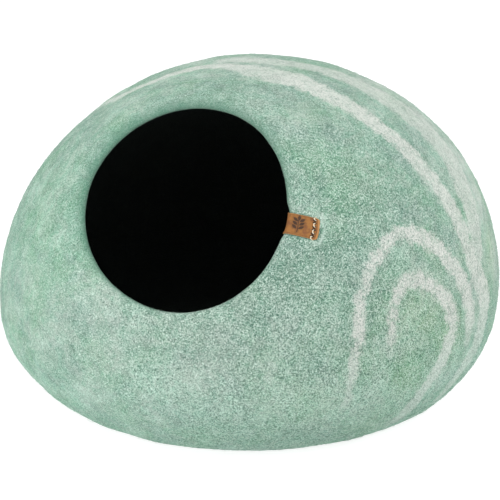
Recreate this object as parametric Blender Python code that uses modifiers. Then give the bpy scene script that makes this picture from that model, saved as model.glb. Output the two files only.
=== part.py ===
"""A felt cat cave: a hollow pebble of thick wool felt with one round opening, and a leather tag over its lip.

Metres, +Z up. The opening faces -Y, and the flat base lies on z = 0.
"""

from collections import namedtuple
from math import acos, asin, atan2, copysign, cos, exp, hypot, pi, radians, sin, sqrt, tan

import bmesh
import bpy
from mathutils import Vector

# The pebble, measured from the middle of its belly line.
HALF_WIDTH = 0.250
CROWN_RISE = 0.241
KEEL_DROP = 0.141  # where the underside would close if no floor flattened it
UPPER_POWER = 2.03  # 2 is a true ellipse, and more is squarer
LOWER_POWER = 2.10
CROWN_LEAN = Vector((0.025, -0.025, 0))  # the crown sits to the right, and forward over the opening

# The flat base: how much of the keel the floor takes up, and how softly the wall turns into it.
FLOOR_CUT = 0.036
FLOOR_BLEND = 0.012
BELLY_HEIGHT = KEEL_DROP - FLOOR_CUT - FLOOR_BLEND

# The felt's unevenness. Turn runs from the front towards +X and rise from level, in degrees.
Swell = namedtuple("Swell", "turn rise spread height")
SWELLS = (
    Swell(turn=106, rise=14, spread=22, height=0.0022),
    Swell(turn=98, rise=-18, spread=20, height=-0.0020),
    Swell(turn=-66, rise=-22, spread=20, height=0.0022),
    Swell(turn=-68, rise=34, spread=22, height=-0.0018),
    Swell(turn=-112, rise=66, spread=20, height=0.0022),
    Swell(turn=138, rise=62, spread=18, height=-0.0016),
)

# The wall, and the round opening cut into it.
WALL = 0.008
OPENING_RADIUS = 0.096
OPENING_TURN = 0.8  # degrees
OPENING_RISE = 36.5
LIP_TURN_IN = 0.003  # how far the felt draws in at the lip
LIP_TURN_WIDTH = 0.022
LIP_ROUND = 0.0036  # bevel on each edge of the lip, nearly half the wall
BROW_HEIGHT = 0.012  # the lip stands proud at its upper left, and sinks as much at its lower right
BROW_SIDE = radians(122)
BROW_SPREAD = 0.060

# The felt's faces: segments round the opening, and rings from the lip to the far end.
SEGMENTS = 60
RINGS = 38
RING_CROWDING = 1.25  # over 1 sets the rings closer together near the lip

# The leather tag, a strip folded over the lip.
TAG_WIDTH = 0.021
TAG_THICKNESS = 0.0014
TAG_LEG = 0.034  # from the crest of the lip to either end
TAG_CORNER = 0.0025
TAG_GAP = 0.0009
TAG_SIDE = radians(2)
TAG_SKEW = radians(6)  # the outer leg points a little down
TAG_END_SLANT = radians(11)  # its end is cut askew, shorter at the upper corner
TAG_PINCH = 0.0025  # how far the sewn tag draws the lip back
TAG_PINCH_SPREAD = radians(9)
TAG_STEPS_LONG = 40
TAG_STEPS_WIDE = 4

MINT_FELT = dict(color=(0.335, 0.494, 0.402), roughness=0.95)
CHARCOAL_FELT = dict(color=(0.012, 0.014, 0.013), roughness=0.98)
TAN_LEATHER = dict(color=(0.485, 0.171, 0.045), roughness=0.55)


def aim(turn, rise):
    """Unit vector from degrees of turn, front towards +X, and degrees of rise."""
    turn = radians(turn)
    rise = radians(rise)
    return Vector((cos(rise) * sin(turn), -cos(rise) * cos(turn), sin(rise)))


OPENING_AXIS = aim(OPENING_TURN, OPENING_RISE)
OPENING_RIGHT = aim(OPENING_TURN + 90, 0)
OPENING_UP = OPENING_AXIS.cross(OPENING_RIGHT)


def pebble_radius(direction):
    """Distance from the middle of the pebble to its outer face."""
    upper = direction.z >= 0
    power = UPPER_POWER if upper else LOWER_POWER
    half_height = CROWN_RISE if upper else KEEL_DROP
    level = hypot(direction.x, direction.y) / HALF_WIDTH
    upright = abs(direction.z) / half_height
    radius = (level**power + upright**power) ** (-1 / power)
    for swell in SWELLS:
        cosine = direction.dot(aim(swell.turn, swell.rise))
        angle = acos(max(-1, min(1, cosine)))
        radius += swell.height * exp(-((angle / radians(swell.spread)) ** 2))
    return radius


def lean(point):
    """Carry the upper half towards the crown's place, more so the higher it is."""
    height = max(0, min(1, point.z / CROWN_RISE))
    return point + CROWN_LEAN * height**2


def rest_on_floor(point):
    """Lift the pebble to its belly height and flatten what would lie below the floor."""
    depth = point.z + KEEL_DROP - FLOOR_CUT
    if depth <= 0:
        height = 0
    elif depth < 2 * FLOOR_BLEND:
        height = depth**2 / (4 * FLOOR_BLEND)
    else:
        height = depth - FLOOR_BLEND
    return Vector((point.x, point.y, height))


def ray(away, around):
    """Unit vector `away` radians from the opening's axis, `around` radians from its right-hand side."""
    across = OPENING_RIGHT * cos(around) + OPENING_UP * sin(around)
    return OPENING_AXIS * cos(away) + across * sin(away)


def lip_angle(around):
    """The angle from the opening's axis at which the felt is cut, found by halving."""
    pinched = TAG_PINCH * exp(-(((around - TAG_SIDE) / TAG_PINCH_SPREAD) ** 2))
    inside = 0
    outside = pi / 3
    for _ in range(30):
        middle = (inside + outside) / 2
        direction = ray(middle, around)
        point = lean(direction * pebble_radius(direction))
        off_axis = point - OPENING_AXIS * point.dot(OPENING_AXIS)
        if off_axis.length > OPENING_RADIUS + pinched:
            outside = middle
        else:
            inside = middle
    return inside


def felt_point(away, around, lip):
    """A point on the felt's outer face. `lip` is lip_angle(around)."""
    direction = ray(away, around)
    radius = pebble_radius(direction)
    from_lip = (away - lip) * radius
    turned_in = max(0, min(1, 1 - from_lip / LIP_TURN_WIDTH))
    radius -= LIP_TURN_IN * turned_in**2
    radius += BROW_HEIGHT * cos(around - BROW_SIDE) * exp(-((from_lip / BROW_SPREAD) ** 2))
    return rest_on_floor(lean(direction * radius))


def felt_frame(away, around):
    """Outer point, outward normal and the direction that leads away from the opening."""
    step = 1e-3
    lip = lip_angle(around)
    here = felt_point(away, around, lip)
    onward = felt_point(away + step, around, lip) - here
    sideways = felt_point(away, around + step, lip_angle(around + step)) - here
    normal = onward.cross(sideways).normalized()
    return here, normal, onward.normalized()


def over_lip(run, around, lift):
    """A point `lift` off the felt, `run` along it from the lip's crest: positive outside, negative inside."""
    bend = WALL / 2 + lift
    quarter = bend * pi / 2
    beyond = max(0, abs(run) - quarter)
    away = lip_angle(around) + (WALL / 2 + beyond) / pebble_radius(OPENING_AXIS)
    outer, normal, onward = felt_frame(away, around)
    middle = outer - normal * WALL / 2
    if beyond:
        return middle + normal * copysign(bend, run)
    turn = run / bend
    return middle + normal * bend * sin(turn) - onward * bend * cos(turn)


def new_object(name, mesh, *materials):
    """Put a mesh into the scene as one smooth-shaded object."""
    data = bpy.data.meshes.new(name)
    mesh.to_mesh(data)
    mesh.free()
    data.shade_smooth()
    for made in materials:
        data.materials.append(made)
    placed = bpy.data.objects.new(name, data)
    bpy.data.collections["felt_cat_cave"].objects.link(placed)
    return placed


def new_material(name, color, roughness):
    made = bpy.data.materials.new(name)
    made.use_nodes = True
    shader = made.node_tree.nodes["Principled BSDF"]
    shader.inputs["Base Color"].default_value = (*color, 1)
    shader.inputs["Roughness"].default_value = roughness
    shader.inputs["Metallic"].default_value = 0
    return made


def make_felt_shell():
    """The pebble: a sphere opened at its pole, drawn onto the cave's form and given its wall."""
    sheet = bmesh.new()
    bmesh.ops.create_uvsphere(sheet, u_segments=SEGMENTS, v_segments=RINGS, radius=1)
    pole = [vert for vert in sheet.verts if vert.co.z > 0.9999]
    bmesh.ops.delete(sheet, geom=pole, context="VERTS")
    first_ring = pi / RINGS
    for vert in sheet.verts:
        ring = (acos(max(-1, vert.co.z)) - first_ring) / (pi - first_ring)
        around = atan2(vert.co.y, vert.co.x)
        lip = lip_angle(around)
        away = lip + (pi - lip) * max(0, ring) ** RING_CROWDING
        vert.co = felt_point(away, around, lip)
    outside = new_material("mint_felt", **MINT_FELT)
    inside = new_material("charcoal_felt", **CHARCOAL_FELT)
    shell = new_object("felt_shell", sheet, outside, inside)

    wall = shell.modifiers.new("wall", "SOLIDIFY")
    wall.thickness = WALL
    wall.offset = -1
    wall.use_even_offset = True
    wall.material_offset = 1
    rounding = shell.modifiers.new("rounded_lip", "BEVEL")
    rounding.limit_method = "ANGLE"
    rounding.angle_limit = radians(60)
    rounding.width = LIP_ROUND
    rounding.segments = 3
    return shell


def tag_half_width(along):
    """Half the strip's width, less where its corners are rounded."""
    into_corner = max(0, abs(along) - (TAG_LEG - TAG_CORNER))
    return TAG_WIDTH / 2 - TAG_CORNER + sqrt(max(0, TAG_CORNER**2 - into_corner**2))


def make_leather_tag():
    """The strip: a flat grid wrapped over the lip, one leg outside and one inside."""
    strip = bmesh.new()
    bmesh.ops.create_grid(strip, x_segments=TAG_STEPS_LONG, y_segments=TAG_STEPS_WIDE, size=1)
    for vert in strip.verts:
        along = vert.co.x * TAG_LEG
        across = vert.co.y * tag_half_width(along)
        along -= across * tan(TAG_END_SLANT) * max(0, vert.co.x)
        run = along * cos(TAG_SKEW) + across * sin(TAG_SKEW)
        aside = across * cos(TAG_SKEW) - along * sin(TAG_SKEW)
        reach = OPENING_RADIUS + abs(run)
        vert.co = over_lip(run, TAG_SIDE + asin(aside / reach), TAG_GAP)
    bmesh.ops.recalc_face_normals(strip, faces=strip.faces)
    tag = new_object("leather_tag", strip, new_material("tan_leather", **TAN_LEATHER))
    leather = tag.modifiers.new("leather", "SOLIDIFY")
    leather.thickness = TAG_THICKNESS
    leather.offset = 1
    return tag


def box_middle(shell):
    """The middle of the shell's box, on the floor."""
    across = [vert.co.x for vert in shell.data.vertices]
    along = [vert.co.y for vert in shell.data.vertices]
    return Vector(((min(across) + max(across)) / 2, (min(along) + max(along)) / 2, 0))


def main():
    for old in list(bpy.data.objects):
        bpy.data.objects.remove(old)
    bpy.context.scene.collection.children.link(bpy.data.collections.new("felt_cat_cave"))
    shell = make_felt_shell()
    tag = make_leather_tag()
    for piece in (shell, tag):
        piece.location = -box_middle(shell)


main()
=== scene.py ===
"""A felt cat cave: its wool felt, the stray fibres on it, and the stitched leather tag over its lip.

Metres, +Z up. The opening faces -Y, and the flat base lies on z = 0.
"""

from collections import namedtuple
from math import pi, radians, sin, cos, tan

import bpy
import numpy as np
from mathutils import Matrix, Vector, noise
from mathutils.bvhtree import BVHTree


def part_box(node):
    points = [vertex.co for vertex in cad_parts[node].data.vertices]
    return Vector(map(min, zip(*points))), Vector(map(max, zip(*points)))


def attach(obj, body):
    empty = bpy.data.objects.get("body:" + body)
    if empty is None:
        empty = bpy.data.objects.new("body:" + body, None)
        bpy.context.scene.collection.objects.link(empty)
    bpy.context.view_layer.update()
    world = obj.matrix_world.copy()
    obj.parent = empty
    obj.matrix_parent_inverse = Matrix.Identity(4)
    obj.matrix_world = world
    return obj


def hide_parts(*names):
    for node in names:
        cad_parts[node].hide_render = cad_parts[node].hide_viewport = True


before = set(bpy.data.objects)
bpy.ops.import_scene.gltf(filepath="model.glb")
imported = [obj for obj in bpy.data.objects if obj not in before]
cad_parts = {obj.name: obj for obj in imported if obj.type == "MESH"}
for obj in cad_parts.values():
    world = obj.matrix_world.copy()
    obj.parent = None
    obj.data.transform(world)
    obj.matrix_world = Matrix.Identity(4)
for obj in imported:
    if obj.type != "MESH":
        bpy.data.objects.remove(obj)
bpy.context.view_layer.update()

# The pebble, measured from the middle of its belly line. All of its sizes are the CAD shell's.
HALF_WIDTH = 0.250
CROWN_RISE = 0.241
KEEL_DROP = 0.141
UPPER_POWER = 2.03
LOWER_POWER = 2.10
CROWN_LEAN = np.array((0.025, -0.025, 0))
FLOOR_CUT = 0.036
FLOOR_BLEND = 0.012
BELLY_HEIGHT = KEEL_DROP - FLOOR_CUT - FLOOR_BLEND

Swell = namedtuple("Swell", "turn rise spread height")
SWELLS = (
    Swell(106, 14, 22, 0.0022),
    Swell(98, -18, 20, -0.0020),
    Swell(-66, -22, 20, 0.0022),
    Swell(-68, 34, 22, -0.0018),
    Swell(-112, 66, 20, 0.0022),
    Swell(138, 62, 18, -0.0016),
)

WALL = 0.008
OPENING_RADIUS = 0.096
OPENING_TURN = 0.8
OPENING_RISE = 36.5
LIP_TURN_IN = 0.003
LIP_TURN_WIDTH = 0.022
LIP_ARC = WALL * pi / 4  # round the lip, from its crest to the outer or the inner face
BROW_HEIGHT = 0.012
BROW_SIDE = radians(122)
BROW_SPREAD = 0.060

# The wool mesh: columns round the opening, and rows from the lip to the far end.
COLUMNS = 384
OUTER_ROWS = 150
LIP_ROWS = 14
INNER_ROWS = 56
ROW_CROWDING = 1.2  # over 1 sets the rows closer together near the lip
HALVINGS = 30  # in the search for the lip, and each doubles its precision

# The felt's lumps: how wide they are and how high they stand. The tag and the floor press them flat.
Lump = namedtuple("Lump", "width height")
LUMPS = (
    Lump(width=0.045, height=0.0009),
    Lump(width=0.018, height=0.0004),
    Lump(width=0.009, height=0.0002),
)
LUMP_START = (1.7, 4.1)  # where their noise is read
LUMP_STRIDE = 7.3  # and how much further along for each size
LUMPS_PRESSED = 0.006  # the distance over which they grow from nothing
LIP_LUMPS = 0.5  # the share of their height that they have round the lip
LIP_PRESSED = radians(9)  # how far round the lip the tag presses them, to either side
LIP_PRESSED_POWER = 6  # over 2 presses them evenly under the tag and lets go quickly beside it

# Painted shade: the felt's edge is painted a deeper green for the shade where the lip rolls in, over
# this width where it stands proud and less elsewhere.
LIP_SHADE_WIDTH = 0.0115
LIP_SHADE_CHANGE = 0.45

# Spots on the wool. Turn runs from the front towards +X and rise from level, in degrees, breadth is in
# millimetres, and strength says how far the wool changes there.
Spot = namedtuple("Spot", "turn rise breadth strength")


def spots(*rows):
    return [Spot(*row) for row in rows]


# Pale stripes laid into the wool, each through a line of spots.
STRIPES = {
    "crown band": spots(  # over the crown and down the right-hand side
        (-122, 20, 12, 0.2), (-98, 38, 14, 0.4), (-77, 54, 17, 0.75), (-72, 61, 17, 0.9),
        (-71, 70, 18, 0.95), (-68, 78, 20, 0.9), (-38, 82, 24, 0.8), (14, 81, 36, 0.68),
        (36, 78, 35, 0.75), (49, 75, 33, 0.85), (57, 69, 27, 0.9), (63, 63, 23, 0.9),
        (70, 51, 21, 0.9), (74, 41, 21, 0.9), (77, 29, 22, 0.85), (79, 16, 25, 0.85),
        (83, 6, 27, 0.8), (80, -2, 24, 0.7), (74, -8, 20, 0.72), (70, -14, 18, 0.62),
    ),
    "second band": spots(  # it leaves the crown band over the crown and meets it again at the right
        (-96, 80, 22, 0.6), (-136, 88, 26, 0.72), (104, 80, 30, 0.65), (99, 72, 32, 0.7),
        (95, 62, 36, 0.65), (94, 52, 42, 0.56), (93, 42, 42, 0.6), (89, 33, 38, 0.7),
        (86, 26, 32, 0.7), (83, 17, 22, 0.65),
    ),
    "back band": spots(  # round the back, behind the second band
        (112, 66, 12, 0.25), (128, 50, 18, 0.65), (146, 34, 20, 0.8), (172, 26, 20, 0.85),
        (-162, 34, 19, 0.8), (-146, 48, 16, 0.6), (-134, 62, 12, 0.25),
    ),
    "outer arch": spots(  # low on the right-hand side
        (39, -8, 9, 0.35), (40, -0.5, 10, 0.85), (41.5, 8, 12, 1), (43, 17, 12, 1),
        (46, 22.5, 12, 1), (50.5, 26.5, 13, 1), (55, 28, 15, 1), (60.5, 27, 15, 1),
        (66.5, 22.5, 16, 1), (71, 17, 18, 1), (74, 11.5, 19, 0.95), (75, 5, 18, 0.85),
        (73.5, -0.5, 15, 0.35),
    ),
    "inner arch": spots(
        (49, 3.5, 7, 0.35), (49.5, 8, 10, 0.9), (51, 14, 11, 1), (52.5, 16.5, 13, 1),
        (55.5, 18, 15, 1), (59.5, 17, 15, 1), (64, 13.5, 16, 1), (67, 8.5, 17, 1),
        (67.5, 4, 17, 0.95), (64.5, -1.5, 17, 0.9), (60, -8, 18, 0.9), (58, -13.5, 19, 0.8),
        (56.5, -18.5, 14, 0.4),
    ),
}
STRIPE_STEPS = 8  # places in each span of a stripe
STRIPE_REACH = 0.006  # how far the white thins out past the edge
MM = 0.001
FAR_OFF = 1.0  # metres, further than anything on the cave

# Broad soft pale spots: partly paler wool, and partly painted light where the light falls most, on the
# front below and left of the opening.
PALE_WOOL_AND_LIGHT_SPOTS = spots(
    (-38, 12, 28, 0.3), (-27, 8, 30, 0.3), (-17, 14, 32, 0.34), (-17, -6, 30, 0.34),
    (-34, 0, 30, 0.2), (4, -4, 30, 0.18), (-3, 8, 32, 0.16), (11, 6, 34, 0.2),
    (22, 2, 26, 0.24), (44, -10, 24, 0.24), (66, -6, 22, 0.24), (9, 1, 34, 0.38),
    (-12, 2, 26, 0.3), (22, -5, 34, 0.3), (35, -8, 28, 0.22), (-47, 4, 26, 0.2),
    (-3, -9, 32, 0.3), (62, 14, 20, 0.22), (80, 7, 24, 0.28), (35, 62, 16, 0.24),
    (-60, 80, 34, 0.1), (-112, 82, 20, 0.4), (-100, 72, 18, 0.35), (20, 84, 26, 0.3),
    (112, 64, 30, 0.5), (104, 50, 30, 0.6), (100, 38, 28, 0.6), (96, 27, 26, 0.6),
    (93, 14, 26, 0.5),
)
FRESH_PATCHES = spots(  # a yellower green
    (57, 10, 32, 1), (53, -3, 34, 0.9), (50, -14, 30, 0.7), (43, 2, 30, 0.6),
    (31, -5, 26, 0.7), (92, 16, 18, 0.9), (63, 24, 14, 0.5), (48, 42, 24, 0.5),
    (66, 3, 26, 0.9), (-44, 30, 50, 0.35),
)
# Darker green spots: partly darker wool and partly painted shade where light falls less, round the
# opening's lower right and above it.
DEEP_WOOL_AND_SHADE_SPOTS = spots(  # a darker green
    (6, 70, 28, 0.85), (29, 66, 26, 0.85), (46, 44, 24, 0.75), (34, 47, 36, 0.35),
    (37, 26, 34, 1), (27, 20, 24, 1), (21, 15, 24, 0.8), (48, 40, 26, 1),
    (41, 36, 26, 0.55), (-31, 36, 28, 0.7), (-50, 37, 24, 0.22), (25, 56, 24, 0.65),
    (49, 56, 22, 0.75), (40, 45, 20, 0.6), (50, 21, 22, 0.4), (20, -12, 60, 0.2),
    (52, -10, 40, 0.2),
)
COOL_PATCHES = spots((-46, 24, 120, 0.8))  # a bluer green, as the wool is everywhere low down
COOL_BELOW = 0.13
COOL_FADE = 0.07

# The nap is raised most where the cave faces the room, and lies flatter towards its sides and crown.
NAP_CENTRE = (30, -2)
NAP_SPREAD = radians(47)
NAP_LEAST = 0.44
NAP_BARE = 0.7 * NAP_LEAST  # a nap as flat as this would have no fibres standing on it

# The leather tag, a strip folded over the lip.
TAG_WIDTH = 0.0222
TAG_THICKNESS = 0.0013
TAG_LEG = 0.0325
TAG_CORNER = 0.0025
TAG_REST = 0.0003  # the gap between it and the felt
TAG_SIDE = radians(2.7)
TAG_SKEW = radians(6)
TAG_END_SLANT = radians(11)
TAG_PINCH = 0.0030
TAG_PINCH_SIDE = radians(4.2)
TAG_PINCH_SPREAD = radians(9.5)
TAG_PINCH_POWER = 4  # over 2 draws it back evenly across the tag and lets go quickly beside it
TAG_EDGE_ROUND = 0.0006
TAG_STEPS_LONG = 240
TAG_STEPS_WIDE = 84
TAG_CROWDING_LONG = 0.35  # how much closer together its rows lie towards the ends
TAG_CROWDING_WIDE = 0.6

# Lines in the felt round the tag: how far outside it each lies, and how wide it is.
Border = namedtuple("Border", "offset width")
TAG_RIDGE = Border(offset=0.0015, width=0.0018)  # the felt swells beside the strip
TAG_RIDGE_HEIGHT = 0.0004
# Painted shadow: a dark line painted in the felt along the tag's edges, strongest under its lower edge.
TAG_SHADOW_LINE = Border(offset=0.0003, width=0.0013)  # a dark line
SHADOW_LINE_ABOVE = 0.4  # the share of its darkness that it has along the upper edge
TAG_HALO = Border(offset=0.0024, width=0.0016)  # rubbed pale, round the tag's outer end
HALO_START = 0.018  # from the lip
HALO_FADE = 0.014

# The running seam through the tag: four stitches, of which the outer two pass over its long edges.
SEAM_PLACE = 0.0286
STITCH_SPACING = 0.0070
STITCH_LENGTH = 0.0041
STITCH_START = 0.0038
STITCH_MIDDLES = tuple(STITCH_START + STITCH_SPACING * number for number in (-2, -1, 0, 1))
STITCH_STATIONS = 33
STITCH_FLATNESS = 0.3  # under 1, a stitch lies flat and turns down sharply at its ends
STITCH_SLANT = 0.0007
SLANT_CHANGE = 0.0003
SLANT_STEP = 2.1  # radians on for each stitch, so that no two slant alike
EDGE_CLEARANCE = 0.0006
EDGE_DIP = 0.0024  # how far a stitch goes down over an edge
HOLE_DIP = 0.0010  # and into a hole
HOLE_RADIUS = 0.0012
HOLE_NARROWING = 0.75  # under 1, a hole is longer along the strip than across it
HOLE_DEPTH = 0.0007
THREAD_RADIUS = 0.00042
THREAD_LIFT = THREAD_RADIUS * 0.6
THREAD_SIDES = 8
PLY_RADIUS = THREAD_RADIUS * 0.62
PLY_ORBIT = THREAD_RADIUS * 0.55
PLY_PITCH = 0.0035
PLY_GUIDE = (0.31, 0.17, 0.94)  # no thread runs this way

# The leaf sprig burnt into the tag's outer leg, with its stem across the strip.
SPRIG_PLACE = 0.0142  # from the lip's crest to the stem
STEM_HALF_LENGTH = 0.0078
STEM_HALF_WIDTH = 0.00028
STEM_SWAY = 0.0006
STEM_SWAY_TURN = 260  # radians in a metre
TOP_LEAF = 0.0075  # the middle of the leaf on the stem's tip
LEAF_LEVELS = (-0.0021, 0.0017, 0.0055)  # the middles of the paired leaves
LEAF_ASIDE = 0.0031
LEAF_SPLAY = radians(52)
LEAF_LENGTH = 0.0057
LEAF_WIDTH = 0.0028
LEAF_FULLNESS = 1.7  # 1 is a plain diamond, and more is fuller
BURN_DEPTH = 0.00014
BURN_SOFTNESS = 0.00012

# Fine fibres, rooted between two rows of the wool mesh, even by area or more where the nap is raised.
# Lengths, heights and radii are the least and the most.
Fibres = namedtuple("Fibres", "name rows count napped place_seed form_seed lengths heights radii")
THIN = (0.00005, 0.00007)
THICK = (0.00012, 0.00022)
STRAY_FIBRES = Fibres(
    name="stray_fibres", rows=(0, OUTER_ROWS), count=6500, napped=False, place_seed=3, form_seed=4,
    lengths=(0.003, 0.008), heights=(0.0004, 0.0016), radii=THIN,
)
NAP_FIBRES = Fibres(
    name="nap_fibres", rows=(0, OUTER_ROWS), count=7400, napped=True, place_seed=7, form_seed=8,
    lengths=(0.004, 0.010), heights=(0.0006, 0.0012), radii=THICK,
)
LIP_FIBRES = Fibres(
    name="lip_fibres", rows=(OUTER_ROWS - 3, OUTER_ROWS + 7), count=1500, napped=False, place_seed=5,
    form_seed=6, lengths=(0.002, 0.004), heights=(0.0002, 0.0007), radii=THIN,
)
FIBRE_STATIONS = 5
FIBRE_SIDES = 3
FIBRE_ARCH = (0.55, 1.0)  # 1 comes back down to the felt
FIBRE_CURL = 0.45
FIBRE_CURL_TURN = 2.6
FIBRE_ROOT_DEPTH = 0.0004
FIBRE_TIP = 0.15  # the share of its radius that a fibre has left at its tip
FIBRE_STAND_OFF = 0.0009  # a fibre that would run further than this off the felt is left out
ROOT_CLEARANCE = 0.004  # above the floor

# The camera stands where the photograph was taken from.
CAMERA_PLACE = Vector((0.5366, -1.6050, 0.7086))
CAMERA_AIM = Vector((-0.0037, 0.0120, 0.1293))
CAMERA_LENS = 127.5

# The studio: even white light, a pale floor that glows, and two soft lights.
WORLD_BRIGHTNESS = 0.88
FLOOR_SIZE = 30
FLOOR_GLOW = 0.86
FLOOR_GREY = (0.26, 0.26, 0.26, 1)
FLOOR_PALE = (0.28, 0.28, 0.28, 1)
SoftLight = namedtuple("SoftLight", "name place size power")
SOFT_LIGHTS = (
    SoftLight(name="left_softbox", place=(-1.1, -2.2, 1.0), size=1.4, power=30),
    SoftLight(name="right_softbox", place=(1.7, -1.0, 1.9), size=1.2, power=33),
)
LIGHT_AIM = Vector((0, 0, 0.15))


def aim(turn, rise):
    """Unit vector from degrees of turn, front towards +X, and degrees of rise."""
    turn = radians(turn)
    rise = radians(rise)
    return np.array((cos(rise) * sin(turn), -cos(rise) * cos(turn), sin(rise)))


OPENING_AXIS = aim(OPENING_TURN, OPENING_RISE)
OPENING_RIGHT = aim(OPENING_TURN + 90, 0)
OPENING_UP = np.cross(OPENING_AXIS, OPENING_RIGHT)


def new_object(name, data):
    made = bpy.data.objects.new(name, data)
    bpy.context.scene.collection.objects.link(made)
    return made


def aimed(name, data, place, target):
    """A camera or a light that points at its target."""
    made = new_object(name, data)
    made.location = place
    made.rotation_euler = (target - made.location).to_track_quat("-Z", "Y").to_euler()
    return made


def make_camera():
    data = bpy.data.cameras.new("photo_camera")
    data.lens = CAMERA_LENS
    bpy.context.scene.camera = aimed("photo_camera", data, CAMERA_PLACE, CAMERA_AIM)


# ---- the form of the felt


def bell(x):
    """1 at nought, and falling off smoothly to either side."""
    return np.exp(-(x**2))


def unit(vectors):
    return vectors / np.linalg.norm(vectors, axis=-1, keepdims=True)


def pebble_radius(direction):
    """Distance from the middle of the pebble to its outer face."""
    upper = direction[..., 2] >= 0
    power = np.where(upper, UPPER_POWER, LOWER_POWER)
    half_height = np.where(upper, CROWN_RISE, KEEL_DROP)
    level = np.hypot(direction[..., 0], direction[..., 1]) / HALF_WIDTH
    upright = np.abs(direction[..., 2]) / half_height
    radius = (level**power + upright**power) ** (-1 / power)
    for swell in SWELLS:
        angle = np.arccos(np.clip(direction @ aim(swell.turn, swell.rise), -1, 1))
        radius += swell.height * bell(angle / radians(swell.spread))
    return radius


def lean(point):
    """Carry the upper half towards the crown's place, more so the higher it is."""
    height = np.clip(point[..., 2:] / CROWN_RISE, 0, 1)
    return point + CROWN_LEAN * height**2


def rest_on_floor(point):
    """Lift the pebble to its belly height and flatten what would lie below the floor."""
    depth = point[..., 2] + KEEL_DROP - FLOOR_CUT
    blended = np.clip(depth, 0, None) ** 2 / (4 * FLOOR_BLEND)
    height = np.where(depth < 2 * FLOOR_BLEND, blended, depth - FLOOR_BLEND)
    return np.stack((point[..., 0], point[..., 1], height), axis=-1)


def ray(away, around):
    """Unit vectors `away` radians from the opening's axis, `around` radians from its right-hand side."""
    across = np.multiply.outer(np.cos(around), OPENING_RIGHT)
    across = across + np.multiply.outer(np.sin(around), OPENING_UP)
    away = np.asarray(away)[..., None]
    return OPENING_AXIS * np.cos(away) + across * np.sin(away)


def turned_from(around, side):
    """How far round the opening each angle lies from `side`, at most half a turn either way."""
    return (around - side + pi) % (2 * pi) - pi


def lip_angle(around):
    """The angle from the opening's axis at which the felt is cut, found by halving."""
    from_pinch = turned_from(around, TAG_PINCH_SIDE) / TAG_PINCH_SPREAD
    pinched = TAG_PINCH * np.exp(-(from_pinch**TAG_PINCH_POWER))
    inside = np.zeros_like(around)
    outside = np.full_like(around, pi / 3)
    for _ in range(HALVINGS):
        middle = (inside + outside) / 2
        direction = ray(middle, around)
        point = lean(direction * pebble_radius(direction)[..., None])
        off_axis = point - OPENING_AXIS * (point @ OPENING_AXIS)[..., None]
        too_far = np.linalg.norm(off_axis, axis=-1) > OPENING_RADIUS + pinched
        outside = np.where(too_far, middle, outside)
        inside = np.where(too_far, inside, middle)
    return inside


def felt_point(away, around, lip):
    """Points on the felt's outer face. `lip` is lip_angle(around)."""
    direction = ray(away, around)
    radius = pebble_radius(direction)
    from_lip = (away - lip) * radius
    turned_in = np.clip(1 - from_lip / LIP_TURN_WIDTH, 0, 1)
    proud = BROW_HEIGHT * np.cos(around - BROW_SIDE)
    radius = radius - LIP_TURN_IN * turned_in**2
    radius = radius + proud * bell(from_lip / BROW_SPREAD)
    return rest_on_floor(lean(direction * radius[..., None]))


def felt_frame(away, around):
    """Outer points, outward normals and the directions that lead away from the opening."""
    step = 1e-3
    lip = lip_angle(around)
    here = felt_point(away, around, lip)
    onward = felt_point(away + step, around, lip) - here
    sideways = felt_point(away, around + step, lip_angle(around + step)) - here
    return here, unit(np.cross(onward, sideways)), unit(onward)


def over_lip(run, around, lift):
    """Points `lift` off the felt, `run` along it from the lip's crest, which is over 0 outside."""
    bend = WALL / 2 + lift
    quarter = bend * pi / 2
    beyond = np.clip(np.abs(run) - quarter, 0, None)
    away = lip_angle(around) + (WALL / 2 + beyond) / pebble_radius(OPENING_AXIS)
    outer, normal, onward = felt_frame(away, around)
    middle = outer - normal * WALL / 2
    turn = np.clip(run / bend, -pi / 2, pi / 2)
    out = normal * (bend * np.sin(turn))[..., None]
    forward = onward * (bend * np.cos(turn))[..., None]
    return middle + out - forward


# ---- meshes


def new_piece(name, points, faces, material, smooth=True):
    """One mesh object from arrays of points and of three- or four-cornered faces."""
    data = bpy.data.meshes.new(name)
    data.from_pydata(points.tolist(), [], faces)
    data.validate()
    if smooth:
        data.shade_smooth()
    data.materials.append(material)
    return new_object(name, data)


def store(piece, name, values):
    """Keep one number for each vertex, for the material to read."""
    layer = piece.data.attributes.new(name, "FLOAT", "POINT")
    layer.data.foreach_set("value", np.asarray(values, np.float32))


def points_of(piece):
    places = np.zeros(len(piece.data.vertices) * 3, np.float32)
    piece.data.vertices.foreach_get("co", places)
    return places.reshape(-1, 3)


def lumpiness(points):
    """How far the felt stands out or sinks in at each point."""
    height = np.zeros(len(points))
    for number, lump in enumerate(LUMPS):
        shift = Vector((LUMP_STRIDE * number, *LUMP_START))
        height += lump.height * np.array([noise.noise(Vector(p) / lump.width + shift) for p in points])
    return height


def under_tag(away, around, lip):
    """Metres from the tag's outline for points of the felt's face, negative beneath the tag."""
    run = (away - lip) * pebble_radius(OPENING_AXIS) - WALL / 2 + LIP_ARC
    aside = turned_from(around, TAG_SIDE) * (OPENING_RADIUS + run)
    along = run * cos(TAG_SKEW) - aside * sin(TAG_SKEW)
    across = aside * cos(TAG_SKEW) + run * sin(TAG_SKEW)
    past_end = along - TAG_LEG + across * tan(TAG_END_SLANT)
    return np.maximum(past_end, np.abs(across) - TAG_WIDTH / 2)


def bordering(outside, border):
    """1 along the middle of a border, and fading out to either side."""
    return bell((outside - border.offset) / border.width)


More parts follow.
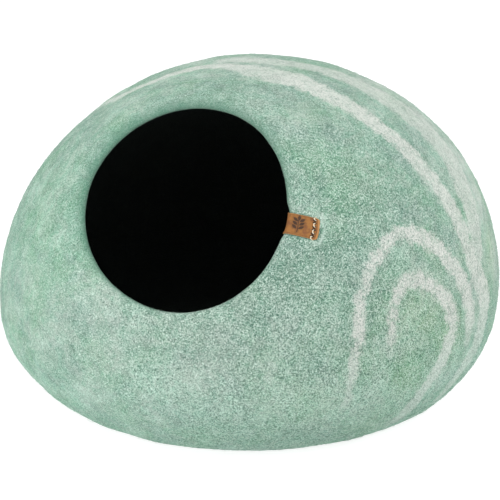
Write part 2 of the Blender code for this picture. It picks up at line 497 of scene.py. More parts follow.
def tag_surround(away, around, lip):
    """How the felt's tone changes round the tag: 1 where it is pale round the outer end, down to -1 in
    the painted shadow along its edges.
    """
    outside = under_tag(away, around, lip)
    run = (away - lip) * pebble_radius(OPENING_AXIS)
    above = turned_from(around, TAG_SIDE) >= 0
    halo = bordering(outside, TAG_HALO) * np.clip((run - HALO_START) / HALO_FADE, 0, 1)
    painted_shadow = bordering(outside, TAG_SHADOW_LINE) * np.where(above, SHADOW_LINE_ABOVE, 1)
    return halo - painted_shadow


def smooth_line(points, steps):
    """Catmull-Rom curve through rows of numbers, with `steps` rows for each span."""
    points = np.asarray(points, float)
    ends = np.vstack((2 * points[0] - points[1], points, 2 * points[-1] - points[-2]))
    t = np.linspace(0, 1, steps, endpoint=False)[:, None]
    spans = []
    for a, b, c, d in zip(ends, ends[1:], ends[2:], ends[3:]):
        bend = (2 * a - 5 * b + 4 * c - d) * t**2 + (3 * b - a - 3 * c + d) * t**3
        spans.append(0.5 * (2 * b + (c - a) * t + bend))
    return np.vstack((*spans, points[-1:]))


def pebble_surface(directions):
    """The places on the felt's face that lie in these directions from the pebble's middle."""
    return rest_on_floor(lean(directions * pebble_radius(directions)[..., None]))


def stripe_offsets(points):
    """Distance in metres outside the nearest stripe's edge, negative inside, and its whiteness there."""
    offset = np.full(len(points), FAR_OFF)
    strength = np.zeros(len(points))
    for stripe_points in STRIPES.values():
        rows = [(*aim(p.turn, p.rise), p.breadth / 2 * MM, p.strength) for p in stripe_points]
        line = smooth_line(rows, STRIPE_STEPS)
        centres = pebble_surface(unit(line[:, :3]))
        for centre, half_breadth, whiteness in zip(centres, line[:, 3], line[:, 4]):
            outside = np.linalg.norm(points - centre, axis=1) - half_breadth
            offset = np.minimum(offset, outside)
            strength = np.maximum(strength, whiteness * np.clip(1 - outside / STRIPE_REACH, 0, 1))
    return offset, strength


def patch_share(points, patches):
    """How far each point lies in any of the patches, from 0 to 1."""
    share = np.zeros(len(points))
    for patch in patches:
        centre = pebble_surface(aim(patch.turn, patch.rise))
        distance = np.linalg.norm(points - centre, axis=1)
        share = np.maximum(share, patch.strength * bell(distance / (patch.breadth * MM)))
    return share


def nap_height(directions):
    """How far the nap is raised, up to 1."""
    angle = np.arccos(np.clip(directions @ aim(*NAP_CENTRE), -1, 1))
    return NAP_LEAST + (1 - NAP_LEAST) * bell(angle / NAP_SPREAD)


def grid_faces(rows, columns, first):
    """Faces between rows of points that each close round on themselves."""
    faces = []
    for row in range(rows - 1):
        here = first + row * columns
        there = here + columns
        for column in range(columns):
            onward = (column + 1) % columns
            faces.append((here + column, here + onward, there + onward, there + column))
    return faces


def tubes(lines, radii, sides, guides):
    """Points and faces of closed round tubes along lines, which all have the same number of places."""
    forward = unit(np.gradient(lines, axis=1))
    side = unit(np.cross(forward, guides))
    other = np.cross(forward, side)
    turns = np.linspace(0, 2 * pi, sides, endpoint=False)
    rings = [lines + (side * cos(turn) + other * sin(turn)) * radii for turn in turns]
    count, stations = lines.shape[:2]
    starts = np.arange(count)[:, None] * stations * sides
    first = np.arange(sides)
    last = first + (stations - 1) * sides
    walls = np.array(grid_faces(stations, sides, 0))
    faces = (starts[:, None] + walls).reshape(-1, 4).tolist()
    faces += (starts + first[::-1]).tolist()
    faces += (starts + last).tolist()
    return np.stack(rings, axis=2).reshape(-1, 3), faces


def face_rows(start, around, count):
    """Where a face's rows lie, from the lip to the far end, and each place's angle round the opening."""
    share = np.linspace(0, 1, count + 1)[:-1, None] ** ROW_CROWDING
    away = start + (pi - start) * share
    return away, np.broadcast_to(around, away.shape)


def lumpy_face(away, around, lip):
    """The felt's outer face with its lumps, and the ridge that the tag raises beside it."""
    face, normal, _ = felt_frame(away, around)
    from_tag = under_tag(away, around, lip).ravel()
    lumps = lumpiness(face.reshape(-1, 3))
    lumps *= 1 - bell(np.clip(from_tag, 0, None) / LUMPS_PRESSED)
    lumps += TAG_RIDGE_HEIGHT * bordering(from_tag, TAG_RIDGE)
    off_floor = np.clip(face[..., 2].ravel() / LUMPS_PRESSED, 0, 1)
    face = face + normal * (lumps * off_floor).reshape(away.shape)[..., None]
    face[..., 2] = np.clip(face[..., 2], 0, None)
    return face


def round_lip(start, around, turn):
    """The felt's edge, `turn` radians over from its outer face."""
    outer, normal, onward = felt_frame(start, around)
    middle = outer - normal * WALL / 2
    lumps = lumpiness(middle - onward * WALL / 2) * LIP_LUMPS
    from_tag = turned_from(around, TAG_SIDE) / LIP_PRESSED
    lumps *= 1 - np.exp(-(from_tag**LIP_PRESSED_POWER))
    bend = WALL / 2 + lumps[:, None] * np.sin(turn)
    return middle + normal * bend * np.cos(turn) - onward * bend * np.sin(turn)


def make_wool_shell(material):
    """The whole cave in one felt: outer face, full round lip and inner face."""
    around = np.linspace(0, 2 * pi, COLUMNS, endpoint=False)
    lip = lip_angle(around)
    radius = pebble_radius(OPENING_AXIS)
    start = lip + WALL / 2 / radius
    away, turned = face_rows(start, around, OUTER_ROWS)
    outer = lumpy_face(away, turned, lip)
    turn = pi * np.arange(1, LIP_ROWS)[:, None, None] / LIP_ROWS
    edge = round_lip(start, around, turn)
    inner_away, inner_turned = face_rows(start, around, INNER_ROWS)
    inner, inward, _ = felt_frame(inner_away, inner_turned)
    inner = inner - inward * WALL

    end = felt_point(np.array([pi]), around[:1], lip[:1])
    rows = np.concatenate((outer[::-1], edge, inner))
    points = np.vstack((end, rows.reshape(-1, 3), end + (0, 0, WALL)))
    faces = grid_faces(len(rows), COLUMNS, 1)
    last = 1 + (len(rows) - 1) * COLUMNS
    for column in range(COLUMNS):
        onward = (column + 1) % COLUMNS
        faces.append((0, 1 + onward, 1 + column))
        faces.append((len(points) - 1, last + column, last + onward))
    shell = new_piece("wool_shell", points, faces, material)

    outer_run = (-(away - start) * radius - LIP_ARC)[::-1].ravel()
    edge_run = np.repeat(WALL / 2 * (turn.ravel() - pi / 2), COLUMNS)
    inner_run = ((inner_away - start) * radius + LIP_ARC).ravel()
    past_crest = np.concatenate(([-FAR_OFF], outer_run, edge_run, inner_run, [FAR_OFF]))
    store(shell, "past_crest", past_crest)
    # Painted shade: a deeper green band towards the lip's crest, widest where the lip stands proud.
    change = np.cos(np.tile(around, len(rows)) - BROW_SIDE)
    lip_shade_width = LIP_SHADE_WIDTH * (1 - LIP_SHADE_CHANGE + LIP_SHADE_CHANGE * change)
    lip_shaded = bell(np.minimum(past_crest[1:-1], 0) / lip_shade_width)
    store(shell, "lip_shade", np.pad(lip_shaded, 1))
    # Pale halo round the tag's outer end, and painted shadow along its edges.
    tone = np.zeros(len(points))
    tone[1 : 1 + away.size] = tag_surround(away, turned, lip)[::-1].ravel()
    store(shell, "tag_halo_and_shadow", tone)
    offset, strength = stripe_offsets(points)
    store(shell, "stripe_offset", offset)
    store(shell, "stripe_strength", strength)
    store(shell, "pale_wool_and_light", patch_share(points, PALE_WOOL_AND_LIGHT_SPOTS))
    store(shell, "fresh_wool", patch_share(points, FRESH_PATCHES))
    store(shell, "deep_wool_and_shade", patch_share(points, DEEP_WOOL_AND_SHADE_SPOTS))
    lowness = np.clip((COOL_BELOW - points[:, 2]) / COOL_FADE, 0, 1)
    store(shell, "cool_wool", np.maximum(lowness, patch_share(points, COOL_PATCHES)))
    store(shell, "nap", nap_height(unit(points - (0, 0, BELLY_HEIGHT))))
    return shell


# ---- the tag


def tag_half_width(along):
    """Half the strip's width, less where its corners are rounded."""
    into_corner = np.clip(np.abs(along) - (TAG_LEG - TAG_CORNER), 0, None)
    return TAG_WIDTH / 2 - TAG_CORNER + np.sqrt(np.clip(TAG_CORNER**2 - into_corner**2, 0, None))


def tag_places(along, across, lift):
    """Points of the tag: `along` from the crest, `across` from its middle line, `lift` off the felt."""
    outer_leg = np.clip(along / TAG_LEG, 0, None)
    along = along - across * tan(TAG_END_SLANT) * outer_leg
    run = along * cos(TAG_SKEW) + across * sin(TAG_SKEW)
    aside = across * cos(TAG_SKEW) - along * sin(TAG_SKEW)
    reach = OPENING_RADIUS + np.abs(run)
    return over_lip(run, TAG_SIDE + np.arcsin(aside / reach), lift)


def sprig_offset(along, across):
    """Distance in metres outside the burnt sprig, negative inside it."""
    beside = along - SPRIG_PLACE
    sway = STEM_SWAY * np.sin(across * STEM_SWAY_TURN)
    nearest = np.maximum(np.abs(beside + sway) - STEM_HALF_WIDTH, np.abs(across) - STEM_HALF_LENGTH)
    leaves = [(0, TOP_LEAF, pi / 2)]
    for level in LEAF_LEVELS:
        for side in (-1, 1):
            leaves.append((side * LEAF_ASIDE, level, pi / 2 - side * LEAF_SPLAY))
    for leaf_beside, leaf_across, angle in leaves:
        x = beside - leaf_beside
        y = across - leaf_across
        lengthwise = np.abs(x * cos(angle) + y * sin(angle))
        sideways = np.abs(y * cos(angle) - x * sin(angle))
        fullness = 1 - np.clip(lengthwise / (LEAF_LENGTH / 2), 0, 1) ** LEAF_FULLNESS
        leaf = np.maximum(sideways - LEAF_WIDTH / 2 * fullness, lengthwise - LEAF_LENGTH / 2)
        nearest = np.minimum(nearest, leaf)
    return nearest


def hole_offset(along, across):
    """Distance in metres outside the nearest needle hole, on either leg."""
    from_seam = np.abs(along) - SEAM_PLACE
    nearest = np.full(along.shape, FAR_OFF)
    for middle in STITCH_MIDDLES:
        for end in (middle - STITCH_LENGTH / 2, middle + STITCH_LENGTH / 2):
            away = np.hypot(from_seam * HOLE_NARROWING, across - end)
            nearest = np.minimum(nearest, away - HOLE_RADIUS)
    return nearest


def crowded(steps, share):
    """Numbers from -1 to 1 that lie closer together towards both ends. Share 0 sets them evenly."""
    even = np.linspace(-1, 1, steps + 1)
    return share * np.sin(even * pi / 2) + (1 - share) * even


def make_leather_strip(material):
    """The tag: two faces that meet in a rounded raw edge, with the sprig and the holes pressed in."""
    long = crowded(TAG_STEPS_LONG, TAG_CROWDING_LONG)
    wide = crowded(TAG_STEPS_WIDE, TAG_CROWDING_WIDE)
    along = np.repeat(long[:, None] * TAG_LEG, TAG_STEPS_WIDE + 1, axis=1)
    half_width = tag_half_width(along)
    across = wide * half_width
    to_edge = np.minimum(half_width - np.abs(across), TAG_LEG - np.abs(along))
    rounding = np.sqrt(1 - (1 - np.clip(to_edge / TAG_EDGE_ROUND, 0, 1)) ** 2)
    middle = TAG_REST + TAG_THICKNESS / 2
    burn = sprig_offset(along, across)
    holes = hole_offset(along, across)
    pressed = BURN_DEPTH / (1 + np.exp(np.clip(burn / BURN_SOFTNESS, -30, 30)))
    pressed += HOLE_DEPTH * bell(np.clip(holes + HOLE_RADIUS, 0, None) / HOLE_RADIUS)
    top = tag_places(along, across, middle + TAG_THICKNESS / 2 * rounding - pressed)
    under = tag_places(along, across, middle - TAG_THICKNESS / 2 * rounding)

    top_index = np.arange(along.size).reshape(along.shape)
    under_index = top_index.copy()
    inside = np.zeros(along.shape, bool)
    inside[1:-1, 1:-1] = True
    under_index[inside] = along.size + np.arange(inside.sum())
    points = np.vstack((top.reshape(-1, 3), under[inside]))
    faces = []
    for index, order in ((top_index, -1), (under_index, 1)):
        corners = np.stack((index[:-1, :-1], index[:-1, 1:], index[1:, 1:], index[1:, :-1]), axis=-1)
        faces += corners[..., ::order].reshape(-1, 4).tolist()
    strip = new_piece("leather_strip", points, faces, material)
    plain = np.full(inside.sum(), FAR_OFF)
    store(strip, "burn_offset", np.concatenate((burn.ravel(), plain)))
    store(strip, "hole_offset", np.concatenate((holes.ravel(), holes[inside])))
    store(strip, "edge_distance", np.concatenate((to_edge.ravel(), to_edge[inside])))
    return strip


def make_tag_stitches(material):
    """Two-ply thread on both legs: each stitch dips into its needle holes, or over an edge."""
    plies = []
    edge = TAG_WIDTH / 2 + EDGE_CLEARANCE
    top = TAG_REST + TAG_THICKNESS + THREAD_LIFT
    share = np.linspace(0, 1, STITCH_STATIONS)
    for leg in (1, -1):
        for number, middle in enumerate(STITCH_MIDDLES):
            low = max(middle - STITCH_LENGTH / 2, -edge)
            high = min(middle + STITCH_LENGTH / 2, edge)
            across = low + (high - low) * share
            dips = [EDGE_DIP if abs(end) == edge else HOLE_DIP for end in (low, high)]
            sunk = np.where(share < 0.5, *dips) * (1 - np.sin(pi * share) ** STITCH_FLATNESS)
            slant = STITCH_SLANT + SLANT_CHANGE * sin(number * SLANT_STEP + leg)
            askew = -leg * slant * (share - 0.5)
            twist = 2 * pi * (high - low) / PLY_PITCH * share
            for ply in (0, pi):
                along = leg * SEAM_PLACE + askew + PLY_ORBIT * np.cos(twist + ply)
                lift = top - sunk + PLY_ORBIT * np.sin(twist + ply)
                plies.append(tag_places(along, across, lift))
    points, faces = tubes(np.array(plies), PLY_RADIUS, THREAD_SIDES, PLY_GUIDE)
    return new_piece("tag_stitches", points, faces, material)


# ---- stray fibres


def make_fibres(kind, shell, felt, material):
    """Curled fibres with their roots in the felt, joined in one mesh."""
    roots, normals = roots_on(shell, kind)
    chance = np.random.default_rng(kind.form_seed)
    guide = unit(chance.normal(size=(kind.count, 3)))
    heading = unit(guide - normals * (guide * normals).sum(axis=1, keepdims=True))
    sideways = np.cross(normals, heading)
    limits = (kind.lengths, kind.heights, FIBRE_ARCH, (-FIBRE_CURL, FIBRE_CURL), kind.radii)
    drawn = [chance.uniform(*limit, (kind.count, 1, 1)) for limit in limits]
    length, height, arch, curl, radius = drawn
    share = np.linspace(0, 1, FIBRE_STATIONS)[None, :, None]
    rise = height * np.sin(pi * share * arch)
    line = (
        roots[:, None]
        + heading[:, None] * length * share
        + sideways[:, None] * length * curl * np.sin(share * FIBRE_CURL_TURN)
        + normals[:, None] * (rise - FIBRE_ROOT_DEPTH)
    )
    ends = (line - normals[:, None] * rise)[:, -1]
    off_felt = np.array([felt.find_nearest(Vector(end))[3] for end in ends])
    kept = off_felt < FIBRE_STAND_OFF
    thickness = radius[kept] * (1 + FIBRE_TIP - share)
    points, faces = tubes(line[kept], thickness, FIBRE_SIDES, normals[kept][:, None])
    return new_piece(kind.name, points, faces, material)


def surface_tree(shell):
    """The shell's faces, kept so that the nearest place on them can be found."""
    corners = [vert.co for vert in shell.data.vertices]
    return BVHTree.FromPolygons(corners, [face.vertices for face in shell.data.polygons])


def roots_on(shell, kind):
    """Where fibres of one kind spring from the felt, with the felt's normals there."""
    chance = np.random.default_rng(kind.place_seed)
    first, last = kind.rows
    index = 1 + np.arange(first * COLUMNS, last * COLUMNS).reshape(-1, COLUMNS)
    places = points_of(shell).astype(float)
    corner = places[index[:-1]].reshape(-1, 3)
    across = places[np.roll(index[:-1], -1, axis=1)].reshape(-1, 3) - corner
    along = places[index[1:]].reshape(-1, 3) - corner
    cross = np.cross(across, along)
    share = np.linalg.norm(cross, axis=1) * (corner[:, 2] > ROOT_CLEARANCE)
    if kind.napped:
        share *= nap_height(unit(corner - (0, 0, BELLY_HEIGHT))) - NAP_BARE
    picked = chance.choice(len(share), kind.count, p=share / share.sum())
    u, v = chance.uniform(0, 1, (2, kind.count, 1))
    return corner[picked] + u * across[picked] + v * along[picked], unit(cross)[picked]


# ---- materials


def new_group(name, inputs, outputs):
    """An empty node group and its sockets. A position is a vector, and every other socket a number."""
    group = bpy.data.node_groups.new(name, "ShaderNodeTree")
    for sockets, direction in ((inputs, "INPUT"), (outputs, "OUTPUT")):
        for socket in sockets:
            kind = "NodeSocketVector" if socket == "Position" else "NodeSocketFloat"
            group.interface.new_socket(socket, in_out=direction, socket_type=kind)
    return group, group.nodes.new("NodeGroupInput").outputs, group.nodes.new("NodeGroupOutput").inputs


def feed(socket, value):
    """Link a socket to another, or set its own number, vector or colour."""
    if isinstance(value, bpy.types.NodeSocket):
        socket.id_data.links.new(value, socket)
    elif value is not None:
        socket.default_value = value


def maths(tree, operation, first, second=None, third=None, clamped=False):
    node = tree.nodes.new("ShaderNodeMath")
    node.operation = operation
    node.use_clamp = clamped
    for socket, value in zip(node.inputs, (first, second, third)):
        feed(socket, value)
    return node.outputs[0]


def times(tree, first, second, clamped=False):
    return maths(tree, "MULTIPLY", first, second, clamped=clamped)


def less(tree, first, second):
    return maths(tree, "SUBTRACT", first, second)


def shifted(tree, vector, by):
    node = tree.nodes.new("ShaderNodeVectorMath")
    node.operation = "ADD"
    feed(node.inputs[0], vector)
    feed(node.inputs[1], by)
    return node.outputs[0]


def clouds(tree, position, scale, detail=2.0, roughness=0.5, distortion=0.0):
    """Noise texture's factor."""
    node = tree.nodes.new("ShaderNodeTexNoise")
    names = ("Vector", "Scale", "Detail", "Roughness", "Distortion")
    for name, given in zip(names, (position, scale, detail, roughness, distortion)):
        feed(node.inputs[name], given)
    return node.outputs["Fac"]


def ramp(tree, value, low, high, to_low=0.0, to_high=1.0):
    """Map a range to another, smoothly and no further than its ends."""
    node = tree.nodes.new("ShaderNodeMapRange")
    node.interpolation_type = "SMOOTHSTEP"
    names = ("Value", "From Min", "From Max", "To Min", "To Max")
    for name, given in zip(names, (value, low, high, to_low, to_high)):
        feed(node.inputs[name], given)
    return node.outputs["Result"]


def mixed(tree, share, first, second, blend="MIX"):
    """Blend two colours, or multiply them."""
    node = tree.nodes.new("ShaderNodeMix")
    node.data_type = "RGBA"
    node.blend_type = blend
    feed(node.inputs["Factor"], share)
    feed(node.inputs[6], first)
    feed(node.inputs[7], second)
    return node.outputs[2]


def hairs(tree, position, scale, breadth):
    """Mask of thin curling lines, which lie wherever a noise passes its middle value."""
    cloud = clouds(tree, position, scale, detail=1.0, distortion=0.9)
    from_middle = maths(tree, "ABSOLUTE", less(tree, cloud, 0.5))
    return ramp(tree, from_middle, breadth * 0.2, breadth, 1, 0)


def attribute(tree, name):
    node = tree.nodes.new("ShaderNodeAttribute")
    node.attribute_name = name
    return node.outputs["Fac"]


def placed(tree, group, **values):
    """A node group in a tree, with its inputs by name. An underscore stands for a space."""
    node = tree.nodes.new("ShaderNodeGroup")
    node.node_tree = group
    for name, value in values.items():
        feed(node.inputs[name.replace("_", " ")], value)
    return node.outputs


def bumped(tree, height, distance, strength=1.0):
    node = tree.nodes.new("ShaderNodeBump")
    node.inputs["Distance"].default_value = distance
    node.inputs["Strength"].default_value = strength
    feed(node.inputs["Height"], height)
    return node.outputs["Normal"]


def new_material(name, **values):
    """A material, its tree, its shader with the given socket values, and the object's coordinates."""
    material = bpy.data.materials.new(name)
    material.use_nodes = True
    tree = material.node_tree
    shader = tree.nodes["Principled BSDF"]
    for socket, value in values.items():
        shader.inputs[socket.replace("_", " ")].default_value = value
    position = tree.nodes.new("ShaderNodeTexCoord").outputs["Object"]
    return material, tree, shader, position


def wool_grain_group():
    """Curled hairs and flecks of paler and darker wool, and the height of the nap."""
    sockets = ("Position", "Fleck Scale", "Curl", "Nap")
    tree, given, out = new_group("wool_grain", sockets, ("Pale", "Dark", "Height"))
    position = given["Position"]
    scale = given["Fleck Scale"]
    fleck_look = dict(scale=scale, detail=1, roughness=0.65, distortion=given["Curl"])
    pale_flecks = clouds(tree, position, **fleck_look)
    dark_flecks = clouds(tree, shifted(tree, position, (3.1, 1.7, 0.4)), **fleck_look)
    flecks = less(tree, pale_flecks, dark_flecks)
    pale_hairs = hairs(tree, position, times(tree, scale, 0.5), 0.04)
    more_hairs = hairs(tree, shifted(tree, position, (0.7, 4.3, 2.9)), times(tree, scale, 0.36), 0.03)
    dark_hairs = hairs(tree, shifted(tree, position, (6.2, 0.9, 5.5)), times(tree, scale, 0.44), 0.045)
    lines = less(tree, maths(tree, "MAXIMUM", pale_hairs, more_hairs), dark_hairs)
    tufts = clouds(tree, position, times(tree, scale, 0.09), detail=4, roughness=0.6, distortion=0.6)
    tone = maths(tree, "MULTIPLY_ADD", lines, HAIR_CONTRAST, times(tree, flecks, FLECK_CONTRAST))
    tone = times(tree, tone, given["Nap"])
    tone = maths(tree, "MULTIPLY_ADD", less(tree, tufts, TUFT_MIDDLE), TUFT_CONTRAST, tone)
    feed(out["Pale"], times(tree, tone, 1, clamped=True))
    feed(out["Dark"], times(tree, tone, -1, clamped=True))
    height = maths(tree, "MULTIPLY_ADD", lines, HAIR_HEIGHT, flecks)
    feed(out["Height"], times(tree, height, given["Nap"]))
    return tree


def wool_patches_group():
    """Broad soft patches where the wool was laid thicker in one colour."""
    wools = ("Green", "Pale", "Grey", "Warm")
    tree, given, out = new_group("wool_patches", ("Position", "Patch Scale"), wools)
    Layer = namedtuple("Layer", "name shift fineness roughness distortion low high")
    for layer in (
        Layer("Green", (0, 0, 0), 1, 0.55, 0.4, 0.42, 0.66),
        Layer("Pale", (5.2, 0.3, 2.2), 1, 0.6, 0.5, 0.46, 0.68),
        Layer("Grey", (1.4, 6.1, 3.7), 1.7, 0.6, 0.5, 0.46, 0.66),
        Layer("Warm", (8.8, 2.5, 1.1), 4.5, 0.6, 0.8, 0.38, 0.62),
    ):
        position = shifted(tree, given["Position"], layer.shift)
        scale = times(tree, given["Patch Scale"], layer.fineness)
        cloud = clouds(tree, position, scale, 3, layer.roughness, layer.distortion)
        feed(out[layer.name], ramp(tree, cloud, layer.low, layer.high))
    return tree


def felted_edge_group():
    """Mask that is 1 inside an outline and frays out over its edge, from a distance outside it."""
    tree, given, out = new_group("felted_edge", ("Offset", "Position", "Fray", "Softness"), ("Mask",))
    coarse = clouds(tree, given["Position"], scale=110)
    fine = clouds(tree, given["Position"], scale=420, detail=3, roughness=0.7)
    wander = maths(tree, "ADD", less(tree, coarse, 0.5), less(tree, fine, 0.5))
    offset = maths(tree, "MULTIPLY_ADD", wander, given["Fray"], given["Offset"])
    inner = times(tree, given["Softness"], -1)
    feed(out["Mask"], ramp(tree, offset, inner, given["Softness"], 1, 0))
    return tree


# How strongly the flecks, hairs and tufts show, and how high the hairs stand.
FLECK_CONTRAST = 5.6
HAIR_CONTRAST = 0.42
TUFT_CONTRAST = 1.4
TUFT_MIDDLE = 0.53
HAIR_HEIGHT = 0.2

WHITE = (1, 1, 1, 1)
WOOL_MID = (0.250, 0.400, 0.315, 1)
WOOL_GREEN = (0.200, 0.388, 0.258, 1)
WOOL_GREY = (0.215, 0.330, 0.284, 1)
WOOL_FRESH = (0.215, 0.425, 0.215, 1)
WOOL_PALE = (0.610, 0.745, 0.665, 1)
WOOL_DARK = (0.058, 0.140, 0.104, 1)
WOOL_DEEP = (0.085, 0.200, 0.140, 1)
COOL_TINT = (0.91, 1.00, 0.96, 1)
WARM_TINT = (1.10, 1.00, 1.02, 1)
SEA_TINT = (0.92, 1.03, 1.00, 1)
STRIPE_WOOL = (0.678, 0.696, 0.650, 1)
STRIPE_DARK = (0.290, 0.365, 0.320, 1)
# Painted shade: near-black charcoal on the inner face stands in for the shade inside the cave.
SHADE_CHARCOAL = (0.020, 0.025, 0.023, 1)
SHADE_CHARCOAL_PALE = (0.045, 0.055, 0.050, 1)
SHADE_CHARCOAL_START = 0.003  # past the crest of the lip
PATCH_SCALE = 17
NAP_DEPTH = 0.0014


def wool_colour(tree, grain, patches):
    """Mint wool with its patches and flecks; the darker spots are partly painted shade."""
    colour = mixed(tree, times(tree, patches["Green"], 0.85), WOOL_MID, WOOL_GREEN)
    colour = mixed(tree, times(tree, patches["Grey"], 0.7), colour, WOOL_GREY)
    colour = mixed(tree, times(tree, attribute(tree, "fresh_wool"), 0.8), colour, WOOL_FRESH)
    colour = mixed(tree, times(tree, patches["Pale"], 0.35), colour, WOOL_PALE)
    colour = mixed(tree, 1, colour, mixed(tree, patches["Warm"], COOL_TINT, WARM_TINT), "MULTIPLY")
    # Darker spots: partly darker wool, partly painted shade.
    colour = mixed(tree, times(tree, attribute(tree, "deep_wool_and_shade"), 0.45), colour, WOOL_DEEP)
    colour = mixed(tree, times(tree, grain["Dark"], 0.9), colour, WOOL_DARK)
    return mixed(tree, times(tree, grain["Pale"], 0.85), colour, WOOL_PALE)


def wool_felt_material(grain_group, patches_group, edge_group):
    """Mint felt with pale stripes, which turns to near-black charcoal past the crest of the lip, painted
    there for the shade inside the cave.
    """
    material, tree, shader, position = new_material(
        "mint_wool_felt", Roughness=0.96, Sheen_Weight=0.14, Sheen_Roughness=0.5,
        Sheen_Tint=(0.82, 1, 0.9, 1), Specular_IOR_Level=0.15,
    )
    nap = attribute(tree, "nap")
    grain = placed(tree, grain_group, Position=position, Fleck_Scale=800, Curl=1, Nap=nap)
    patches = placed(tree, patches_group, Position=position, Patch_Scale=PATCH_SCALE)
    colour = wool_colour(tree, grain, patches)
    wisps = clouds(tree, position, scale=85, detail=4, roughness=0.65, distortion=1.5)
    # Pale spots: partly paler wool, partly painted light.
    pale_and_light = times(tree, attribute(tree, "pale_wool_and_light"), ramp(tree, wisps, 0.34, 0.62, to_low=0.25))
    colour = mixed(tree, pale_and_light, colour, STRIPE_WOOL)
    offset = attribute(tree, "stripe_offset")
    in_stripe = placed(tree, edge_group, Offset=offset, Position=position, Fray=0.018, Softness=0.004)
    stripe_colour = mixed(tree, times(tree, grain["Dark"], 1.3, clamped=True), STRIPE_WOOL, STRIPE_DARK)
    whiteness = times(tree, in_stripe["Mask"], attribute(tree, "stripe_strength"))
    whiteness = times(tree, whiteness, ramp(tree, wisps, 0.34, 0.5, to_low=0.7))
    colour = mixed(tree, whiteness, colour, stripe_colour)
    tone = attribute(tree, "tag_halo_and_shadow")
    colour = mixed(tree, times(tree, tone, 0.7, clamped=True), colour, WOOL_PALE)
    # Painted shadow: the felt darkens along the tag's edges, most under its lower edge.
    colour = mixed(tree, times(tree, tone, -0.75, clamped=True), colour, WOOL_DARK)
    # Painted shade on the lip's rolled edge.
    colour = mixed(tree, times(tree, attribute(tree, "lip_shade"), 0.8), colour, WOOL_DEEP)
    sea_tint = mixed(tree, attribute(tree, "cool_wool"), WHITE, SEA_TINT)
    colour = mixed(tree, 1, colour, sea_tint, "MULTIPLY")
    # Painted shade inside: near-black charcoal past the crest of the lip.
    inner_shade = mixed(tree, grain["Pale"], SHADE_CHARCOAL, SHADE_CHARCOAL_PALE)
    offset = less(tree, attribute(tree, "past_crest"), SHADE_CHARCOAL_START)
    in_mint = placed(tree, edge_group, Offset=offset, Position=position, Fray=0.004, Softness=0.003)
    feed(shader.inputs["Base Color"], mixed(tree, in_mint["Mask"], inner_shade, colour))
    feed(shader.inputs["Normal"], bumped(tree, grain["Height"], NAP_DEPTH))
    return material


def fibre_material(grain_group, patches_group):
    """Single wool fibres, paler than the felt beneath them."""
    material, tree, shader, position = new_material("wool_fibre", Roughness=0.85, Specular_IOR_Level=0.2)
    grain = placed(tree, grain_group, Position=position, Fleck_Scale=160, Curl=0.5, Nap=0.8)
    patches = placed(tree, patches_group, Position=position, Patch_Scale=PATCH_SCALE)
    colour = wool_colour(tree, grain, patches)
    feed(shader.inputs["Base Color"], mixed(tree, 0.6, colour, WOOL_PALE))
    return material


LEATHER_TAN = (0.290, 0.128, 0.036, 1)
LEATHER_RED = (0.190, 0.078, 0.032, 1)
LEATHER_DEEP = (0.120, 0.055, 0.022, 1)
LEATHER_RAW = (0.520, 0.270, 0.100, 1)
BURNT = (0.050, 0.030, 0.022, 1)
# Painted shade in the needle holes.
HOLE_SHADE = (0.020, 0.012, 0.008, 1)
PORE_DEPTH = 0.00012


def leather_material():
    """Tan leather: fine grain, darker then paler along its raw edges, with a burnt sprig, and holes
    painted dark for the shade in them.
    """
    material, tree, shader, position = new_material(
        "tan_leather", Roughness=0.6, Specular_IOR_Level=0.15
    )
    blotches = clouds(tree, position, scale=190, detail=3, roughness=0.65)
    pores = tree.nodes.new("ShaderNodeTexVoronoi")
    pores.feature = "DISTANCE_TO_EDGE"
    feed(pores.inputs["Vector"], position)
    feed(pores.inputs["Scale"], 2200)
    between = ramp(tree, pores.outputs["Distance"], 0, 0.12)
    colour = mixed(tree, ramp(tree, blotches, 0.42, 0.66), LEATHER_TAN, LEATHER_RED)
    colour = mixed(tree, times(tree, less(tree, 1, between), 0.35), colour, LEATHER_DEEP)
    from_edge = attribute(tree, "edge_distance")
    fading = ramp(tree, from_edge, 0.0012, 0.0018, 0.5, 0)
    burnished = times(tree, ramp(tree, from_edge, 0.0005, 0.0008), fading)
    colour = mixed(tree, burnished, colour, LEATHER_DEEP)
    colour = mixed(tree, ramp(tree, from_edge, 0.0001, 0.0006, 0.65, 0), colour, LEATHER_RAW)
    from_burn = attribute(tree, "burn_offset")
    scorch = ramp(tree, from_burn, -0.0001, 0.0002, 0.92, 0)
    colour = mixed(tree, ramp(tree, from_burn, 0, 0.0026, 0.55, 0), colour, LEATHER_DEEP)
    colour = mixed(tree, scorch, colour, BURNT)
    # Painted shade: the needle holes are coloured near-black.
    hole = ramp(tree, attribute(tree, "hole_offset"), -0.0001, 0.0005, 1, 0)
    feed(shader.inputs["Base Color"], mixed(tree, hole, colour, HOLE_SHADE))
    worn = maths(tree, "MULTIPLY_ADD", blotches, 0.25, 0.45)
    feed(shader.inputs["Roughness"], maths(tree, "MULTIPLY_ADD", scorch, 0.3, worn))
    height = maths(tree, "MULTIPLY_ADD", blotches, 0.6, between)
    feed(shader.inputs["Normal"], bumped(tree, height, PORE_DEPTH, 0.7))
    return material


THREAD_CREAM = (0.80, 0.72, 0.56, 1)
THREAD_SHADE = (0.55, 0.44, 0.30, 1)
STRAND_DEPTH = 0.0001


def thread_material():
    """Waxed cream thread."""
    material, tree, shader, position = new_material(
        "cream_thread", Roughness=0.62, Specular_IOR_Level=0.35
    )
    strands = clouds(tree, position, scale=2600, detail=3, roughness=0.7)
    colour = mixed(tree, ramp(tree, strands, 0.4, 0.65), THREAD_CREAM, THREAD_SHADE)
    feed(shader.inputs["Base Color"], colour)
    feed(shader.inputs["Normal"], bumped(tree, strands, STRAND_DEPTH, 0.6))
    return material


# ---- studio


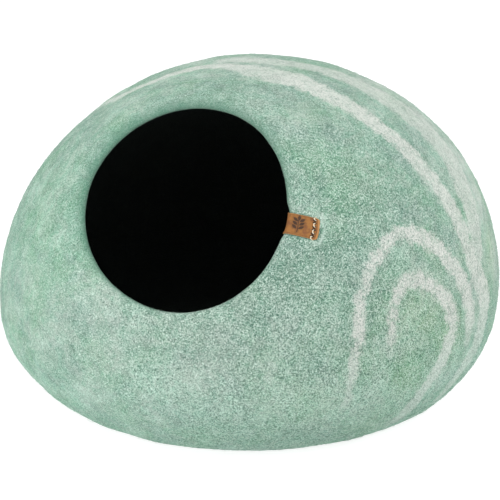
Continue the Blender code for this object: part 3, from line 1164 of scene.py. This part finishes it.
def make_studio():
    """A pale floor, even white light and the soft lights."""
    scene = bpy.context.scene
    scene.view_settings.view_transform = "Standard"
    world = bpy.data.worlds.new("studio")
    scene.world = world
    world.use_nodes = True
    background = world.node_tree.nodes["Background"]
    background.inputs["Color"].default_value = WHITE
    background.inputs["Strength"].default_value = WORLD_BRIGHTNESS

    corners = FLOOR_SIZE / 2 * np.array([(-1, -1, 0), (1, -1, 0), (1, 1, 0), (-1, 1, 0)])
    material, tree, shader, position = new_material(
        "pale_floor", Roughness=0.9, Specular_IOR_Level=0.1, Emission_Color=WHITE,
        Emission_Strength=FLOOR_GLOW,
    )
    grey = clouds(tree, position, scale=3.0)
    feed(shader.inputs["Base Color"], mixed(tree, grey, FLOOR_GREY, FLOOR_PALE))
    new_piece("pale_floor", corners, [(0, 1, 2, 3)], material, smooth=False)

    for lamp in SOFT_LIGHTS:
        data = bpy.data.lights.new(lamp.name, "AREA")
        data.shape = "DISK"
        data.size = lamp.size
        data.energy = lamp.power
        aimed(lamp.name, data, lamp.place, LIGHT_AIM)


# ---- the whole


def centre_on_cad(pieces, shell):
    """Move the new pieces so that the shell's middle is where the CAD shell's is."""
    low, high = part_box("felt_shell")
    places = points_of(shell)
    middle = (places.min(axis=0) + places.max(axis=0)) / 2
    move = Vector(((low.x + high.x) / 2 - middle[0], (low.y + high.y) / 2 - middle[1], 0))
    for piece in pieces:
        piece.data.transform(Matrix.Translation(move))


def main():
    make_camera()
    make_studio()
    grain = wool_grain_group()
    patches = wool_patches_group()
    edge = felted_edge_group()
    shell = make_wool_shell(wool_felt_material(grain, patches, edge))
    strip = make_leather_strip(leather_material())
    stitches = make_tag_stitches(thread_material())
    fibre_wool = fibre_material(grain, patches)
    felt = surface_tree(shell)
    fuzz = make_fibres(STRAY_FIBRES, shell, felt, fibre_wool)
    nap = make_fibres(NAP_FIBRES, shell, felt, fibre_wool)
    lip_fuzz = make_fibres(LIP_FIBRES, shell, felt, fibre_wool)
    pieces = (shell, strip, stitches, fuzz, nap, lip_fuzz)
    centre_on_cad(pieces, shell)

    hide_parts("felt_shell")
    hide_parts("leather_tag")
    for piece in pieces:
        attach(piece, "root")


main()
